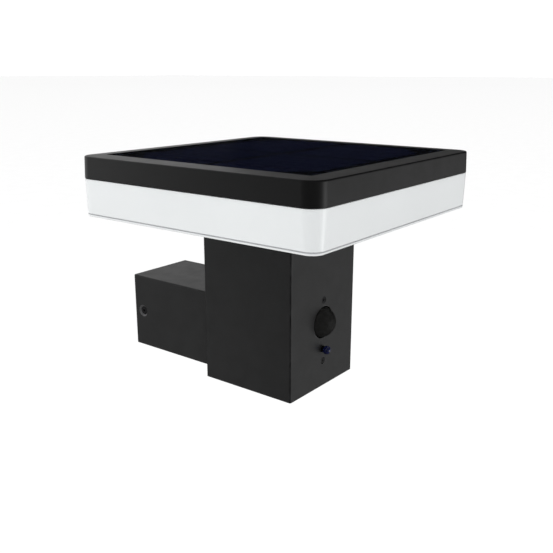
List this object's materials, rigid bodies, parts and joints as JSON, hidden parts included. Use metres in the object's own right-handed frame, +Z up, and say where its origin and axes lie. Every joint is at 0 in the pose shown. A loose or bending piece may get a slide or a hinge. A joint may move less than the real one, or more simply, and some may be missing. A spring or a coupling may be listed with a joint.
{
  "type": "solar wall light with motion sensor",
  "caption": "Square solar-powered wall light: panel-topped head with a frosted light band on a column with a motion sensor, held by a box arm on a wall bracket.",
  "frame": {"origin": "middle of the wall bracket's back face, on the wall plane y = 0", "axes": "+Z up, -Y out of the wall towards the front of the lamp, +X to the right seen from the wall's left-hand side facing +Y"},
  "size_m": [0.202, 0.2305, 0.1701],
  "materials": {
    "anthracite_shell": "satin",
    "anthracite_extrusion": "matte",
    "diffuser": "satin",
    "panel_glass": "gloss",
    "solar_cells": "satin",
    "white_board": "satin",
    "reflector": "satin",
    "rubber": "matte",
    "black_plastic": "matte",
    "motion_lens": "satin",
    "button": "gloss",
    "green_board": "satin",
    "sensor_can": "satin",
    "zinc_steel": "satin",
    "black_steel": "satin",
    "battery_wrap": "satin",
    "cable_jacket": "matte"
  },
  "bodies": {
    "bracket": {"wall_bracket": "zinc_steel"},
    "lamp": {"top_cap": "anthracite_shell", "column_tube": "anthracite_extrusion", "column_foot": "anthracite_extrusion", "arm_tube": "anthracite_extrusion", "diffuser": "diffuser", "panel_glass": "panel_glass", "cell_string_back_right": "solar_cells", "cell_string_back_left": "solar_cells", "cell_string_front_left": "solar_cells", "cell_string_front_right": "solar_cells", "led_board": "white_board", "reflector_sheet": "reflector", "panel_tape": "rubber", "head_seal": "rubber", "foot_seal": "rubber", "neck_seal": "rubber", "lens_seal": "rubber", "panel_backing": "black_plastic", "neck_spacer": "black_plastic", "sensor_carrier": "black_plastic", "battery_holder": "black_plastic", "tact_switch": "black_plastic", "motion_lens": "motion_lens", "sensor_board": "green_board", "control_board": "green_board", "pyro_sensor": "sensor_can", "head_bolt_1": "zinc_steel", "head_bolt_2": "zinc_steel", "head_bolt_3": "zinc_steel", "head_bolt_4": "zinc_steel", "foot_screw_1": "zinc_steel", "foot_screw_2": "zinc_steel", "foot_screw_3": "zinc_steel", "foot_screw_4": "zinc_steel", "arm_screw_1": "zinc_steel", "arm_screw_2": "zinc_steel", "arm_screw_3": "zinc_steel", "arm_screw_4": "zinc_steel", "inner_chassis": "zinc_steel", "battery_contact_lower": "zinc_steel", "battery_contact_upper": "zinc_steel", "clamp_nut_left": "zinc_steel", "clamp_nut_right": "zinc_steel", "sensor_screw_upper": "black_steel", "sensor_screw_lower": "black_steel", "battery_cell_left": "battery_wrap", "battery_cell_right": "battery_wrap", "panel_cable": "cable_jacket", "led_cable": "cable_jacket", "sensor_cable": "cable_jacket", "battery_cable": "cable_jacket"},
    "mode_button": {"mode_button": "button", "button_stem": "black_plastic", "switch_plunger": "black_plastic"},
    "clamp_screw_left": {"clamp_screw_left": "black_steel"},
    "clamp_screw_right": {"clamp_screw_right": "black_steel"}
  },
  "joints": [
    {"name": "lamp_slide_off", "type": "slide", "parent": "bracket", "child": "lamp", "axis": [0, -1, 0], "range_m": [0, 0.03]},
    {"name": "mode_button_press", "type": "slide", "parent": "lamp", "child": "mode_button", "axis": [0, 1, 0], "range_m": [0, 0.0008], "stiffness_N_per_m": 400},
    {"name": "clamp_screw_left_out", "type": "slide", "parent": "lamp", "child": "clamp_screw_left", "axis": [-1, 0, 0], "range_m": [0, 0.004]},
    {"name": "clamp_screw_right_out", "type": "slide", "parent": "lamp", "child": "clamp_screw_right", "axis": [1, 0, 0], "range_m": [0, 0.004]}
  ]
}
